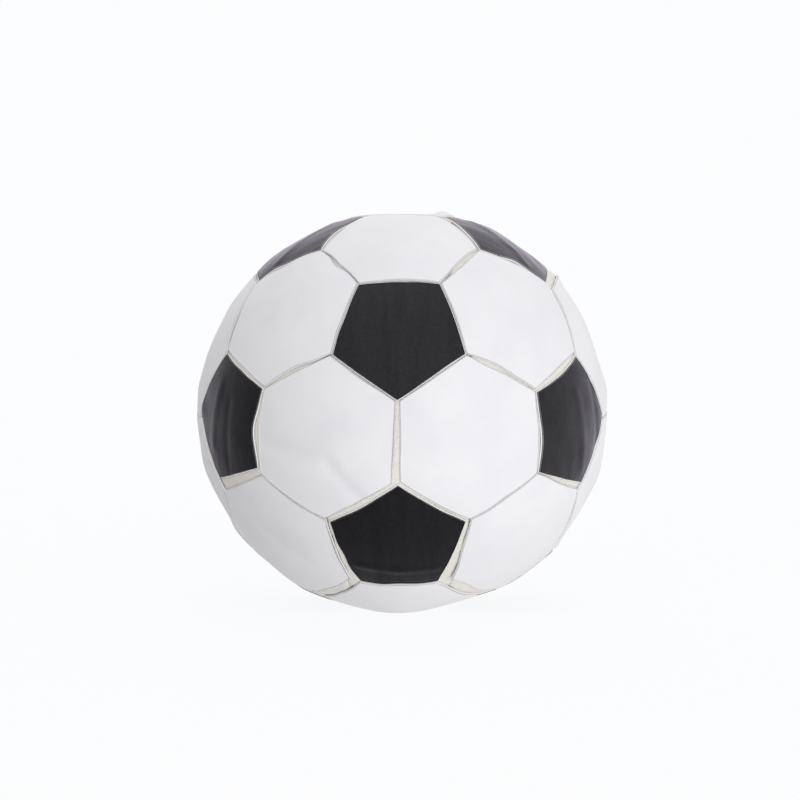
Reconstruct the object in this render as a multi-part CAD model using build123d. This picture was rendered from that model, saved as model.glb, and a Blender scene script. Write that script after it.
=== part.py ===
from build123d import *
import itertools
import math
import os

# A stuffed medicine ball. Thirty-two sheet panels, twelve black pentagons and twenty white
# hexagons, are bonded by hand on a canvas carcass of eight sewn gores. Inside are a felt wrap,
# a fibre filling and, in the middle, a tied cloth bag of mineral ballast.
# Frame: +Z is up, the front looks along -Y, and the origin is on the floor under the ball's middle.

# Driving dimensions, in millimetres unless a name says degrees.
BALL_RADIUS = 140.0
FOOT_SAG = 4.5
PANEL_THICKNESS = 1.6
CANVAS_THICKNESS = 1.2
FELT_THICKNESS = 10.0
BALLAST_RADIUS = 44.0
BAG_CLOTH_THICKNESS = 1.0

# The panel pattern. A pattern cell is a panel that would meet its neighbours without a gap.
GOLDEN_RATIO = (1 + math.sqrt(5)) / 2
LEAST_PANEL_GAP = 0.7
# How each panel was laid: shift towards the east and the north along the surface, turn in degrees
# anticlockwise as seen from outside, and size as a share of its pattern cell.
LAID = {
    "black_front_upper": (0.5, 1.0, 0.5, 0.970),
    "black_front_lower": (-0.5, 1.0, 0.5, 0.980),
    "black_left_front": (-1.5, 5.5, -2.5, 0.945),
    "black_right_front": (2.5, 3.0, 2.0, 0.965),
    "black_top_left": (6.0, 4.5, -3.5, 0.960),
    "black_top_right": (-6.5, 5.0, 4.0, 0.960),
    "white_top_front": (-0.5, -3.5, 1.0, 0.920),
    "white_upper_front_left": (2.5, 2.5, -0.5, 0.930),
    "white_upper_front_right": (-1.5, 1.5, 1.0, 0.945),
    "white_front_left": (-2.0, 2.0, -2.5, 0.965),
    "white_front_right": (1.5, 2.5, 0.5, 0.970),
    "white_lower_front_left": (-1.5, 2.5, 2.0, 0.955),
    "white_lower_front_right": (2.5, 3.0, -1.0, 0.970),
    "white_bottom_front": (1.0, 0.5, 1.5, 0.955),
}
# The back repeats the front, turned half way round the vertical axis. The panels that neither
# half names are laid straight.
LAID_STRAIGHT = (0.0, 0.0, 0.0, 0.965)

# The canvas carcass. Seams run from pole to pole, and a round patch closes each pole.
GORE_COUNT = 8
FIRST_SEAM_DEGREES = 22.5
POLE_PATCH_RADIUS = 14.0
CLOSING_SEAM = 1

# Stitches lie in the canvas, across the seams.
STITCH_SPAN_DEGREES = 66.0
STITCH_DEPTH = 0.2
GORE_STITCH = {"pitch": 12.0, "length": 6.0, "thread": 0.7}
CLOSING_STITCH = {"pitch": 8.0, "length": 11.0, "thread": 0.9}

# The gathered neck of the ballast bag, and the cord that ties it.
NECK_RADIUS = 6.0
NECK_HEIGHT = 16.0
RUFFLE_RADIUS = 13.0
RUFFLE_HEIGHT = 10.0
TIE_CORD_RADIUS = 1.2

CENTRE_HEIGHT = BALL_RADIUS - FOOT_SAG
CENTRE = Vector(0, 0, CENTRE_HEIGHT)
BAG_RADIUS = BALLAST_RADIUS + BAG_CLOTH_THICKNESS
CANVAS_DEPTH = PANEL_THICKNESS
FELT_DEPTH = CANVAS_DEPTH + CANVAS_THICKNESS
FIBRE_DEPTH = FELT_DEPTH + FELT_THICKNESS
PAST_SURFACE = 1.5 * BALL_RADIUS


def place_name(direction):
    """Names a panel by the way it faces, with its strongest direction first."""
    words = (("left", "right"), ("front", "back"), ("lower", "upper"))
    ranked = sorted(
        (-round(abs(value), 3), -axis, value)
        for axis, value in enumerate(direction)
        if abs(value) > 0.1
    )
    names = [words[-axis][value > 0] for _, axis, value in ranked]
    if len(names) == 2 and names[0] in words[2]:
        names[0] = {"lower": "bottom", "upper": "top"}[names[0]]
    return "_".join(names)


def corner_key(corner):
    """A corner of the pattern, as a key that neighbouring panels share."""
    return tuple(round(value, 4) for value in corner)


class Panel:
    """One sheet panel: its pattern cell on the unit ball, and where its corners were laid."""

    def __init__(self, colour, centre, corners):
        self.centre = centre.normalized()
        self.name = f"{colour}_{place_name(self.centre)}"
        self.east = Vector(0, 0, 1).cross(self.centre).normalized()
        self.north = self.centre.cross(self.east)
        unit = [corner.normalized() for corner in corners]
        self.cell = sorted(unit, key=lambda c: math.atan2(c.dot(self.north), c.dot(self.east)))
        self.laid = {corner_key(corner): self.lay(corner) for corner in self.cell}

    def lay(self, corner):
        """Where a corner of the cell ends up on the panel as it was cut and laid."""
        half_turned = f"{self.name.split('_')[0]}_{place_name(self.centre.rotate(Axis.Z, 180))}"
        placing = LAID.get(self.name, LAID.get(half_turned, LAID_STRAIGHT))
        shift_east, shift_north, turn, size = placing
        flat = corner / corner.dot(self.centre)
        cut = self.centre + (flat - self.centre) * size
        turned = cut.rotate(Axis((0, 0, 0), self.centre), turn).normalized()
        shift = self.east * shift_east + self.north * shift_north
        if shift.length == 0:
            return turned
        tip_axis = Axis((0, 0, 0), self.centre.cross(shift))
        return turned.rotate(tip_axis, math.degrees(shift.length / BALL_RADIUS))

    def towards_centre(self, normal):
        """A plane's normal, turned to point to this panel's side of the plane."""
        return normal if normal.dot(self.centre) > 0 else -normal

    def side_normal(self, first, second, neighbour):
        """The radial plane of one side, pulled back where the neighbour is in the way."""
        keys = (corner_key(first), corner_key(second))
        ends = [self.laid[key] for key in keys]
        seam = []
        for key, end in zip(keys, ends):
            middle = (end + neighbour.laid[key]).normalized()
            inward = (self.centre - middle).normalized()
            seam.append(middle + inward * (LEAST_PANEL_GAP / 2 / BALL_RADIUS))
        limit = self.towards_centre(seam[0].cross(seam[1]).normalized())
        kept = [end - limit * min(0.0, limit.dot(end)) for end in ends]
        return self.towards_centre(kept[0].cross(kept[1]).normalized())

    def corners(self, panels):
        """The corners of the panel as laid, on the unit ball."""
        sides = []
        for first, second in zip(self.cell, self.cell[1:] + self.cell[:1]):
            shared = {corner_key(first), corner_key(second)}
            neighbour = next(p for p in panels if p is not self and shared <= p.laid.keys())
            sides.append(self.side_normal(first, second, neighbour))
        return [
            self.towards_centre(before.cross(after).normalized())
            for before, after in zip(sides, sides[1:] + sides[:1])
        ]


def football_pattern():
    """The 12 black and 20 white panels of the pattern."""
    centres = []
    for long_sign, short_sign in itertools.product((1, -1), repeat=2):
        long_part = GOLDEN_RATIO * long_sign
        centres.append(Vector(0, long_part, short_sign))
        centres.append(Vector(long_part, short_sign, 0))
        centres.append(Vector(short_sign, 0, long_part))

    def next_to(a, b):
        return 0.1 < a.normalized().dot(b.normalized()) < 0.9

    panels = []
    for centre in centres:
        ring = [other for other in centres if next_to(centre, other)]
        panels.append(Panel("black", centre, [centre * 2 + other for other in ring]))
    for trio in itertools.combinations(centres, 3):
        if all(next_to(a, b) for a, b in itertools.combinations(trio, 2)):
            corners = [a * 2 + b for a, b in itertools.permutations(trio, 2)]
            panels.append(Panel("white", trio[0] + trio[1] + trio[2], corners))
    return panels


def flattened_ball(depth):
    """The stuffed ball at a depth under its surface, flat where it rests on the floor."""
    width = 3 * BALL_RADIUS
    above_foot = Pos(0, 0, depth) * Box(width, width, width, align=(Align.CENTER, Align.CENTER, Align.MIN))
    return Pos(CENTRE) * Sphere(BALL_RADIUS - depth) & above_foot


def radial_pyramid(panel, panels):
    """A pyramid from the ball's middle, through a panel's corners, to past the surface."""
    corners = panel.corners(panels)
    tips = [CENTRE + corner * (PAST_SURFACE / corner.dot(panel.centre)) for corner in corners]
    sides = [Face(Wire.make_polygon([CENTRE, a, b])) for a, b in zip(tips, tips[1:] + tips[:1])]
    return Solid(Shell(sides + [Face(Wire.make_polygon(tips))]))


def cover_panels():
    """The 32 panels of the cover."""
    cover = flattened_ball(0) - flattened_ball(PANEL_THICKNESS)
    panels = football_pattern()
    return {panel.name + "_panel": cover & radial_pyramid(panel, panels) for panel in panels}


def stitches(seam_degrees, pitch, length, thread):
    """A row of stitches along one seam, and the pockets in the canvas that they lie in."""
    surface = BALL_RADIUS - CANVAS_DEPTH
    half_count = int(math.radians(STITCH_SPAN_DEGREES) * surface / pitch)
    row, pockets = [], []
    for step in range(-half_count, half_count + 1):
        elevation = math.degrees(step * pitch / surface)
        outward = Vector(1, 0, 0).rotate(Axis.Y, -elevation).rotate(Axis.Z, seam_degrees)
        across = Vector(0, 1, 0).rotate(Axis.Z, seam_degrees)
        place = Plane(origin=CENTRE + outward * surface, x_dir=across, z_dir=outward)
        stitch = Box(length, thread, thread, align=(Align.CENTER, Align.CENTER, Align.MAX))
        pocket = Box(length, thread, 3 * thread, align=(Align.CENTER, Align.CENTER, Align.CENTER))
        row.append(place * Pos(0, 0, -STITCH_DEPTH) * stitch)
        pockets.append(place * Pos(0, 0, thread / 2 - STITCH_DEPTH) * pocket)
    return row, pockets


def canvas_carcass():
    """Eight gores, the two pole patches and the thread that sews the gores together."""
    canvas = flattened_ball(CANVAS_DEPTH) - flattened_ball(FELT_DEPTH)
    poles = Pos(CENTRE) * Cylinder(POLE_PATCH_RADIUS, 3 * BALL_RADIUS)
    gore_angle = 360 / GORE_COUNT
    rows = []
    for seam in range(GORE_COUNT):
        kind = CLOSING_STITCH if seam == CLOSING_SEAM else GORE_STITCH
        rows.append(stitches(FIRST_SEAM_DEGREES + seam * gore_angle, **kind))
    made = {}
    for seam in range(GORE_COUNT):
        turned = Rot(0, 0, FIRST_SEAM_DEGREES + seam * gore_angle)
        wedge = Pos(CENTRE) * turned * Cylinder(
            PAST_SURFACE,
            3 * BALL_RADIUS,
            arc_size=gore_angle,
            align=(Align.NONE, Align.NONE, Align.CENTER),
        )
        pockets = rows[seam][1] + rows[(seam + 1) % GORE_COUNT][1]
        made[f"canvas_gore_{seam + 1}"] = (canvas & wedge) - poles - pockets
    patches = (canvas & poles).solids().sort_by(Axis.Z)
    made["canvas_pole_patch_bottom"] = patches[0]
    made["canvas_pole_patch_top"] = patches[-1]
    sewn = [row for seam, (row, _) in enumerate(rows) if seam != CLOSING_SEAM]
    made["gore_stitching"] = Compound(children=[s for row in sewn for s in row])
    made["closing_stitches"] = Compound(children=rows[CLOSING_SEAM][0])
    return made


def split_level(shape):
    """The upper and the lower half of a shape, cut at the ball's middle."""
    width = 3 * BALL_RADIUS
    above = Pos(CENTRE) * Box(width, width, width, align=(Align.CENTER, Align.CENTER, Align.MIN))
    return shape & above, shape - above


def ballast_bag():
    """The cloth bag of ballast in the middle, its gathered neck and the cord tied round it."""
    ballast = Pos(CENTRE) * Sphere(BALLAST_RADIUS)
    neck_base = BAG_RADIUS - BAG_CLOTH_THICKNESS / 2
    ruffle_base = BAG_RADIUS + NECK_HEIGHT
    neck = Pos(0, 0, CENTRE_HEIGHT) * Cylinder(
        NECK_RADIUS, ruffle_base, align=(Align.CENTER, Align.CENTER, Align.MIN)
    )
    ruffle = Pos(0, 0, CENTRE_HEIGHT + ruffle_base) * Cone(
        NECK_RADIUS, RUFFLE_RADIUS, RUFFLE_HEIGHT, align=(Align.CENTER, Align.CENTER, Align.MIN)
    )
    bag_shell = Pos(CENTRE) * Sphere(BAG_RADIUS) - ballast
    upper, lower = split_level(bag_shell)
    tie_height = CENTRE_HEIGHT + neck_base + NECK_HEIGHT / 2
    tie = Pos(0, 0, tie_height) * Torus(NECK_RADIUS + TIE_CORD_RADIUS, TIE_CORD_RADIUS)
    return {
        "ballast": ballast,
        "ballast_bag_upper": upper + (neck + ruffle - ballast),
        "ballast_bag_lower": lower,
        "ballast_bag_tie": tie,
    }


def stuffing():
    """The felt wrap and the fibre filling, each in an upper and a lower half."""
    fibre_ball = flattened_ball(FIBRE_DEPTH)
    felt_upper, felt_lower = split_level(flattened_ball(FELT_DEPTH) - fibre_ball)
    neck_room = Pos(CENTRE) * Cylinder(
        RUFFLE_RADIUS,
        BAG_RADIUS + NECK_HEIGHT + RUFFLE_HEIGHT,
        align=(Align.CENTER, Align.CENTER, Align.MIN),
    )
    hollow = Pos(CENTRE) * Sphere(BAG_RADIUS) + neck_room
    fibre_upper, fibre_lower = split_level(fibre_ball - hollow)
    return {
        "felt_wrap_upper": felt_upper,
        "felt_wrap_lower": felt_lower,
        "fibre_filling_upper": fibre_upper,
        "fibre_filling_lower": fibre_lower,
    }


nodes = cover_panels() | canvas_carcass() | stuffing() | ballast_bag()
os.makedirs("parts", exist_ok=True)
for name, shape in nodes.items():
    export_step(shape, f"parts/{name}.step")
print(len(nodes), "nodes")
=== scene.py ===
import math

import bpy
import numpy as np
from mathutils import Matrix, Vector, noise


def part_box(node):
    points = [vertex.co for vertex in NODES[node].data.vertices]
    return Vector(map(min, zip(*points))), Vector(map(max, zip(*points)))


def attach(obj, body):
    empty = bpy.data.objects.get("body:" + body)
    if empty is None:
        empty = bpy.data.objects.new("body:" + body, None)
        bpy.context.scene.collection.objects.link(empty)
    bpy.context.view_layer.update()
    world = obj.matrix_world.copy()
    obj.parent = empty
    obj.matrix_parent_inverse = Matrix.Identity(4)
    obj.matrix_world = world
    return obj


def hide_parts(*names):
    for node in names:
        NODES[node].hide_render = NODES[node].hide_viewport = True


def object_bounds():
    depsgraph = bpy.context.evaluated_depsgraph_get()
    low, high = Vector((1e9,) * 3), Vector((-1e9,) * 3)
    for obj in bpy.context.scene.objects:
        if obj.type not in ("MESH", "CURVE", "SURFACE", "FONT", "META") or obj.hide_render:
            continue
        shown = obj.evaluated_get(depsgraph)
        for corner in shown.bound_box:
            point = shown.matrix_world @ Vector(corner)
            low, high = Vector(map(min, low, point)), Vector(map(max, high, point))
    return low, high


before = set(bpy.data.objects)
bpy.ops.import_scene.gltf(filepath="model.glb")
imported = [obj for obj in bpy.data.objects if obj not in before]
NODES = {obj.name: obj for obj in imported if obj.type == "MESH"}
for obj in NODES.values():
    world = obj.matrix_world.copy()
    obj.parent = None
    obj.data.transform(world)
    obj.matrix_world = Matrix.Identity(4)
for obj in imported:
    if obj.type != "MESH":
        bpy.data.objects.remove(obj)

# A stuffed ball with a cover of 32 hand-laid leatherette panels on a canvas carcass of sewn gores.
# The panels' outlines, the ball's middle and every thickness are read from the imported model.

MM = 0.001

CAD_LOW, CAD_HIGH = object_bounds()
PANEL_NODES = sorted(name for name in NODES if name.endswith("_panel"))


def node_points(node):
    """The vertices of a CAD node, as an array."""
    return np.array([vertex.co for vertex in NODES[node].data.vertices], float)


BALLAST_LOW, BALLAST_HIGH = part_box("ballast")
CENTRE = np.array((BALLAST_LOW + BALLAST_HIGH) / 2)
BALL_RADIUS = (CAD_HIGH.x - CAD_LOW.x) / 2
PATCH_LOW, PATCH_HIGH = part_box("canvas_pole_patch_top")
FOOT_PATCH_LOW, FOOT_PATCH_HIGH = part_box("canvas_pole_patch_bottom")
PANEL_THICKNESS = BALL_RADIUS - (PATCH_HIGH.z - CENTRE[2])
CANVAS_THICKNESS = FOOT_PATCH_HIGH.z - FOOT_PATCH_LOW.z
POLE_PATCH_RADIUS = (PATCH_HIGH.x - PATCH_LOW.x) / 2
GORE_COUNT = sum(name.startswith("canvas_gore_") for name in NODES)


# ---------------------------------------------------------------- the ball's shape

# Lumps and hollows of the stuffing: azimuth (0 is the front, 90 the right), elevation, width in
# degrees, height in millimetres.
LUMPS = [
    (166, 81, 15, -4.4),
    (128, 75, 3, 3.6),
    (116, 70, 4, -0.8),
    (103, 53, 6, -1.6),
    (99, 41, 3, 1.6),
    (93, 17, 8, -1.3),
    (91, 6, 5, 1.3),
    (88, -18, 5, 1.5),
    (84, -35, 4, -0.6),
    (83, -41, 4, 1.4),
    (60, -72, 13, -4.6),
    (-61, -73, 10, -2.8),
    (-78, -50, 7, -1.4),
    (-84, -35, 4, 1.0),
    (-83, -29, 4, -1.4),
    (-86, -15, 6, 1.4),
    (-90, -1, 6, 1.7),
    (-92, 25, 7, -1.4),
    (-96, 39, 7, -1.6),
    (-105, 60, 14, -2.6),
    (-28, -30, 11, 0.7),
    (30, 30, 12, 0.6),
    (180, 10, 18, 1.0),
    (140, -30, 14, -1.2),
    (-150, 35, 14, -1.0),
    (120, 45, 8, 1.0),
]
# Creases and ridges pressed into one panel: from and to an azimuth and elevation, width and height in
# millimetres.
CREASES = {
    "white_front_left": [(-40, -2, -20, -6, 6.0, -0.7), (-20, -6, -11, -16, 5.0, -0.8)],
    "black_front_lower": [(-15, -39, 0, -41, 3.0, 0.8), (0, -41, 14, -40, 3.0, 0.6)],
    "white_lower_front_left": [(-52, -26, -36, -38, 5.0, -0.5)],
    "black_right_front": [(60, 10, 64, -12, 4.0, 0.5), (70, 12, 73, -8, 4.0, -0.5)],
    "black_left_front": [(-62, 12, -66, -6, 4.0, 0.5), (-56, 8, -58, -12, 3.0, -0.4)],
    "black_top_right": [(70, 50, 92, 70, 4.0, 0.7), (84, 48, 110, 62, 4.0, -0.6)],
    "black_top_left": [(-70, 50, -92, 70, 4.0, 0.7), (-84, 48, -110, 62, 4.0, -0.6)],
}
# Corners that stand up off the ball: azimuth, elevation, width and height in millimetres.
CURLS = {
    "white_left_upper": [(-88, 7, 9.0, 1.0)],
    "white_right_upper": [(98, 42, 6.0, 1.4)],
    "black_left_front": [(-75, 3, 8.0, 1.0)],
    "white_lower_front_right": [(24, -45, 8.0, 1.0)],
}
SETTLING = 0.5 * MM
UNDULATION = 0.45 * MM
UNDULATION_LENGTH = 48 * MM
DIMPLE = 0.16 * MM
DIMPLE_LENGTH = 17 * MM
FOOT_BLEND = 3.0 * MM
LEAST_DOWN = 1e-3


def compass(azimuth, elevation):
    """The direction of an azimuth and elevation, both in degrees."""
    a, e = math.radians(azimuth), math.radians(elevation)
    return np.array((math.sin(a) * math.cos(e), -math.cos(a) * math.cos(e), math.sin(e)))


def noise_at(points, length, seed):
    """Smooth noise from -1 to 1 at points in metres, with features of about the length given."""
    shift = Vector((seed * 7.31, seed * 3.17, seed * 5.93))
    return np.array([noise.noise(Vector(p) / length + shift) for p in points])


def soft_min(a, b, width):
    """The smaller of two values, rounded over where they are within the width of each other."""
    share = np.clip(0.5 + 0.5 * (b - a) / width, 0, 1)
    return b * (1 - share) + a * share - width * share * (1 - share)


def floor_distance(directions):
    """How far the floor is from the ball's middle, which is a long way where a direction isn't downward."""
    return CENTRE[2] / np.maximum(-directions[:, 2], LEAST_DOWN)


def surface_radius(directions, relief=0.0):
    """Distance from the ball's middle to the panels' face. The foot flattens any relief too."""
    radius = np.full(len(directions), BALL_RADIUS - SETTLING) + relief
    for azimuth, elevation, width, height in LUMPS:
        angle = np.degrees(np.arccos(np.clip(directions @ compass(azimuth, elevation), -1, 1)))
        radius += height * MM * np.exp(-((angle / width) ** 2))
    radius += UNDULATION * noise_at(directions * BALL_RADIUS, UNDULATION_LENGTH, 1)
    return soft_min(radius, floor_distance(directions), FOOT_BLEND)


def unit(vectors):
    """Vectors scaled to length one."""
    return vectors / np.linalg.norm(vectors, axis=-1, keepdims=True)


# ---------------------------------------------------------------- mesh building

def new_piece(name, points, faces, materials, uv=None, material_of_face=None):
    """A mesh piece with smooth faces, its first material unless a face has another, and a map in metres."""
    mesh = bpy.data.meshes.new(name)
    mesh.from_pydata([tuple(p) for p in points], [], faces)
    for material in materials:
        mesh.materials.append(material)
    if material_of_face:
        mesh.polygons.foreach_set("material_index", material_of_face)
    mesh.polygons.foreach_set("use_smooth", [True] * len(faces))
    if uv is not None:
        layer = mesh.uv_layers.new(name="metres")
        corner_vertex = np.zeros(len(mesh.loops), int)
        mesh.loops.foreach_get("vertex_index", corner_vertex)
        layer.data.foreach_set("uv", np.asarray(uv, float)[corner_vertex].ravel())
    mesh.validate()
    mesh.update()
    piece = bpy.data.objects.new(name, mesh)
    bpy.context.scene.collection.objects.link(piece)
    return piece


def closed_sheet(name, outer, inner, faces, rim, material, uv):
    """A closed sheet: its outer face, the same face turned over at the inner points, and the rim.

    The rim is a list of the outer face's edge points, anticlockwise as seen from outside.
    """
    back = len(outer)
    both = faces + [tuple(back + i for i in face[::-1]) for face in faces]
    both += [(b, a, back + a, back + b) for a, b in zip(rim, rim[1:] + rim[:1])]
    return new_piece(name, np.concatenate([outer, inner]), both, [material], uv + uv)


def add_tube(points, faces, centres, outs, ups, radius, sides, closed):
    """Adds a tube along centres, with two directions across it at each. An open tube gets flat ends."""
    first = len(points)
    for centre, out, up in zip(centres, outs, ups):
        for side in range(sides):
            angle = 2 * math.pi * side / sides
            points.append(centre + radius * (math.cos(angle) * out + math.sin(angle) * up))
    rings = len(centres)
    for ring in range(rings if closed else rings - 1):
        this, following = first + ring * sides, first + (ring + 1) % rings * sides
        for side in range(sides):
            beside = (side + 1) % sides
            faces.append((this + side, following + side, following + beside, this + beside))
    if not closed:
        last = first + (rings - 1) * sides
        faces.append(tuple(first + side for side in range(sides)))
        faces.append(tuple(last + side for side in range(sides - 1, -1, -1)))


def finish_piece(piece, slot, *nodes):
    """Puts a piece on the ball in place of CAD nodes. The slot argument is not used."""
    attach(piece, "root")
    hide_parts(*nodes)
    return piece


# ---------------------------------------------------------------- materials

def new_material(name, roughness, specular):
    """A material with a principled shader, and the tools to add nodes to it."""
    material = bpy.data.materials.new(name)
    material.use_nodes = True
    tree = material.node_tree
    shader = tree.nodes["Principled BSDF"]
    shader.inputs["Roughness"].default_value = roughness
    shader.inputs["Specular IOR Level"].default_value = specular
    return material, tree, shader


def add_node(tree, kind, inputs=None, **settings):
    """A node with its settings, and its inputs as values or as sockets to link from."""
    node = tree.nodes.new(kind)
    for key, value in settings.items():
        setattr(node, key, value)
    for key, value in (inputs or {}).items():
        if isinstance(value, bpy.types.NodeSocket):
            tree.links.new(value, node.inputs[key])
        else:
            node.inputs[key].default_value = value
    return node


def colour_ramp(tree, factor, stops):
    """A colour that runs through (position, grey or colour) stops."""
    ramp = add_node(tree, "ShaderNodeValToRGB", {"Fac": factor})
    elements = ramp.color_ramp.elements
    while len(elements) < len(stops):
        elements.new(0.5)
    for element, (position, colour) in zip(elements, stops):
        element.position = position
        element.color = (*colour, 1.0) if isinstance(colour, tuple) else (colour, colour, colour, 1.0)
    return ramp.outputs["Color"]


def noise_texture(tree, vector, scale, detail=2.0, roughness=0.5, distortion=0.0):
    """A noise texture's value."""
    inputs = {"Vector": vector, "Scale": scale, "Detail": detail}
    inputs |= {"Roughness": roughness, "Distortion": distortion}
    return add_node(tree, "ShaderNodeTexNoise", inputs).outputs["Fac"]


def stretched(tree, vector, scale, turn=0.0):
    """Coordinates turned about Z and scaled unevenly, for streaks."""
    inputs = {"Vector": vector, "Scale": scale, "Rotation": (0.0, 0.0, turn)}
    return add_node(tree, "ShaderNodeMapping", inputs).outputs["Vector"]


def mixed(tree, way, share, one, other):
    """Two colours mixed in one of the mix node's ways."""
    inputs = {"Fac": share, "Color1": one, "Color2": other}
    return add_node(tree, "ShaderNodeMixRGB", inputs, blend_type=way).outputs["Color"]


def object_place(tree):
    """The place of a point in the ball's frame."""
    return add_node(tree, "ShaderNodeTexCoord").outputs["Object"]


def bump(tree, height, distance, strength=1.0, normal=None):
    """A bump of a height from 0 to 1 over a distance in metres."""
    inputs = {"Height": height, "Distance": distance, "Strength": strength}
    if normal is not None:
        inputs["Normal"] = normal
    return add_node(tree, "ShaderNodeBump", inputs).outputs["Normal"]


def leather_grain(tree, vector, scale):
    """A fine pebble grain: rounded cells with narrow valleys between them."""
    warp = noise_texture(tree, vector, scale * 0.6, 2.0)
    inputs = {"Vector": mixed(tree, "ADD", 1.2 * MM, vector, warp), "Scale": scale, "Smoothness": 0.6}
    return add_node(tree, "ShaderNodeTexVoronoi", inputs, feature="SMOOTH_F1").outputs["Distance"]


def white_leatherette():
    """Semi-matt white coated cloth: faint mottling, soft handling marks and a fine grain."""
    material, tree, shader = new_material("white_leatherette", 0.5, 0.35)
    place = object_place(tree)
    mottle = noise_texture(tree, place, 28.0, 4.0, 0.55)
    colour = colour_ramp(tree, mottle, [(0.3, (0.800, 0.796, 0.828)), (0.7, (0.850, 0.847, 0.876))])
    marks = noise_texture(tree, stretched(tree, place, (60.0, 60.0, 14.0)), 1.0, 3.0, 0.6, 0.6)
    mark_tint = colour_ramp(tree, marks, [(0.0, 0.955), (0.42, 1.0), (1.0, 1.0)])
    tree.links.new(mixed(tree, "MULTIPLY", 1.0, colour, mark_tint), shader.inputs["Base Color"])
    gloss = colour_ramp(tree, noise_texture(tree, place, 55.0, 3.0), [(0.25, 0.44), (0.75, 0.58)])
    tree.links.new(gloss, shader.inputs["Roughness"])
    handling = bump(tree, noise_texture(tree, place, 34.0, 3.0, 0.5), 1.1 * MM, 0.4)
    grain = bump(tree, leather_grain(tree, place, 1100.0), 0.05 * MM, 0.6, handling)
    tree.links.new(grain, shader.inputs["Normal"])
    return material


# How close together the marks of handling lie on black leatherette, across and along a panel, to a metre.
STREAKED = (120.0, 13.0, 1.0)
CLOUDED = (58.0, 26.0, 1.0)


def black_leatherette(name, specular, bloom_most, depth, marks=STREAKED):
    """Near-black coated cloth: a fine mottled grain, and soft marks that catch the light at a slant.

    Copies differ in gloss, in bloom seen at a slant and in marks; a depth under one darkens the black as
    painted shade.
    """
    material, tree, shader = new_material(name, 0.5, specular)
    coords = add_node(tree, "ShaderNodeTexCoord")
    place, cloth = coords.outputs["Object"], coords.outputs["UV"]
    specks = noise_texture(tree, place, 420.0, 4.0, 0.7)
    # A depth under one is painted shade: the whole black is darker on panels that face away from the light.
    dark = tuple(depth * share for share in (0.0050, 0.0044, 0.0056))
    light = tuple(depth * share for share in (0.0135, 0.0118, 0.0152))
    colour = colour_ramp(tree, specks, [(0.32, dark), (0.7, light)])
    tree.links.new(colour, shader.inputs["Base Color"])
    streaks = noise_texture(tree, stretched(tree, cloth, marks, 0.12), 1.0, 4.0, 0.6, 0.4)
    gloss = colour_ramp(tree, streaks, [(0.3, 0.36), (0.7, 0.66)])
    tree.links.new(gloss, shader.inputs["Roughness"])
    bloom = colour_ramp(tree, streaks, [(0.3, bloom_most), (0.7, 0.7 * bloom_most)])
    tree.links.new(bloom, shader.inputs["Sheen Weight"])
    shader.inputs["Sheen Roughness"].default_value = 0.34
    shader.inputs["Sheen Tint"].default_value = (0.88, 0.825, 1.0, 1.0)
    handling = bump(tree, streaks, 0.5 * MM, 0.3)
    grain = bump(tree, leather_grain(tree, place, 900.0), 0.08 * MM, 0.8, handling)
    tree.links.new(grain, shader.inputs["Normal"])
    return material


def cut_edge(name, light, dark):
    """The cloth backing where a panel is cut: short fibres, from a light colour to a darker one."""
    material, tree, shader = new_material(name, 0.9, 0.15)
    place = object_place(tree)
    fibres = noise_texture(tree, place, 1400.0, 4.0, 0.7)
    tree.links.new(colour_ramp(tree, fibres, [(0.3, dark), (0.7, light)]), shader.inputs["Base Color"])
    tree.links.new(bump(tree, fibres, 0.08 * MM, 0.5), shader.inputs["Normal"])
    return material


def plain_weave(name, light, dark, threads_per_metre, roughness=0.92):
    """A plain-woven cloth: crossing threads over a map in metres, with uneven slubs and stains, and painted
    shade in the hollows between threads.
    """
    material, tree, shader = new_material(name, roughness, 0.12)
    shader.inputs["Sheen Weight"].default_value = 0.15
    shader.inputs["Sheen Roughness"].default_value = 0.6
    coords = add_node(tree, "ShaderNodeTexCoord")
    place, cloth = coords.outputs["Object"], coords.outputs["UV"]
    wave_scale = threads_per_metre / 2 / 10 * math.pi
    bands = {}
    for which, direction in enumerate("XY"):
        inputs = {"Vector": cloth, "Scale": wave_scale}
        inputs |= {"Distortion": 0.35, "Detail": 1.0, "Detail Scale": 3.0}
        bands[which] = add_node(tree, "ShaderNodeTexWave", inputs, bands_direction=direction).outputs["Fac"]
    weave = add_node(tree, "ShaderNodeMath", bands, operation="MULTIPLY").outputs["Value"]
    slubs = noise_texture(tree, stretched(tree, cloth, (40.0, 600.0, 1.0)), 1.0, 3.0, 0.6)
    stains = noise_texture(tree, place, 30.0, 4.0, 0.6)
    base = colour_ramp(tree, stains, [(0.3, dark), (0.7, light)])
    # Painted shade: the hollows between the threads are darker.
    painted_weave_shade = colour_ramp(tree, weave, [(0.0, 0.88), (0.5, 1.0)])
    slub_shade = colour_ramp(tree, slubs, [(0.3, 0.94), (0.7, 1.0)])
    shaded = mixed(tree, "MULTIPLY", 1.0, base, painted_weave_shade)
    tree.links.new(mixed(tree, "MULTIPLY", 1.0, shaded, slub_shade), shader.inputs["Base Color"])
    rumples = bump(tree, noise_texture(tree, place, 130.0, 3.0, 0.55, 0.8), 1.4 * MM, 0.6)
    tree.links.new(bump(tree, weave, 0.18 * MM, 0.8, rumples), shader.inputs["Normal"])
    return material


def loose_fibre(name, light, dark, length):
    """Matted fibres in all directions, with features of about a length in metres."""
    material, tree, shader = new_material(name, 0.95, 0.1)
    place = object_place(tree)
    mat = noise_texture(tree, place, 1 / length, 6.0, 0.75, 1.5)
    tree.links.new(colour_ramp(tree, mat, [(0.3, dark), (0.7, light)]), shader.inputs["Base Color"])
    tree.links.new(bump(tree, mat, length * 0.4, 0.9), shader.inputs["Normal"])
    return material


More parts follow.
